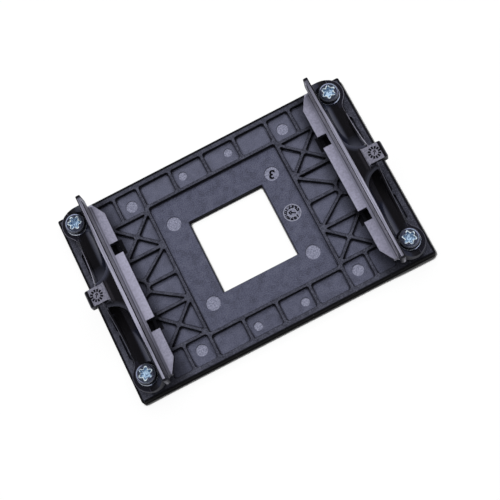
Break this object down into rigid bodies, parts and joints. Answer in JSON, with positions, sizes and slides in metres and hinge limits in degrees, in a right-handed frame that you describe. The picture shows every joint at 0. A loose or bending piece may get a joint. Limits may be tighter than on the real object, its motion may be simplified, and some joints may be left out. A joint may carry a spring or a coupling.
{
  "type": "cpu cooler mounting bracket",
  "caption": "Bolt-through cooler mounting set: ribbed backplate with a square window, clip lug brackets along its short sides, threaded inserts and pan head screws.",
  "frame": {"origin": "middle of the backplate's underside", "axes": "+X runs along the backplate's long side from the left bracket to the right one, +Z points away from the backplate towards the cooler"},
  "size_m": [0.1018, 0.0662, 0.0187],
  "materials": {
    "plate_plastic": "fine matte, dark slate",
    "bracket_plastic": "satin black with a matte ledge",
    "insert_metal": "zinc plated",
    "screw_metal": "bright zinc with a bluish tint"
  },
  "bodies": {
    "root": {"backplate": "plate_plastic", "retention_bracket_right": "bracket_plastic", "retention_bracket_left": "bracket_plastic", "threaded_insert_right_back": "insert_metal", "threaded_insert_right_front": "insert_metal", "threaded_insert_left_back": "insert_metal", "threaded_insert_left_front": "insert_metal", "screw_right_back": "screw_metal", "screw_right_front": "screw_metal", "screw_left_back": "screw_metal", "screw_left_front": "screw_metal"}
  },
  "joints": []
}
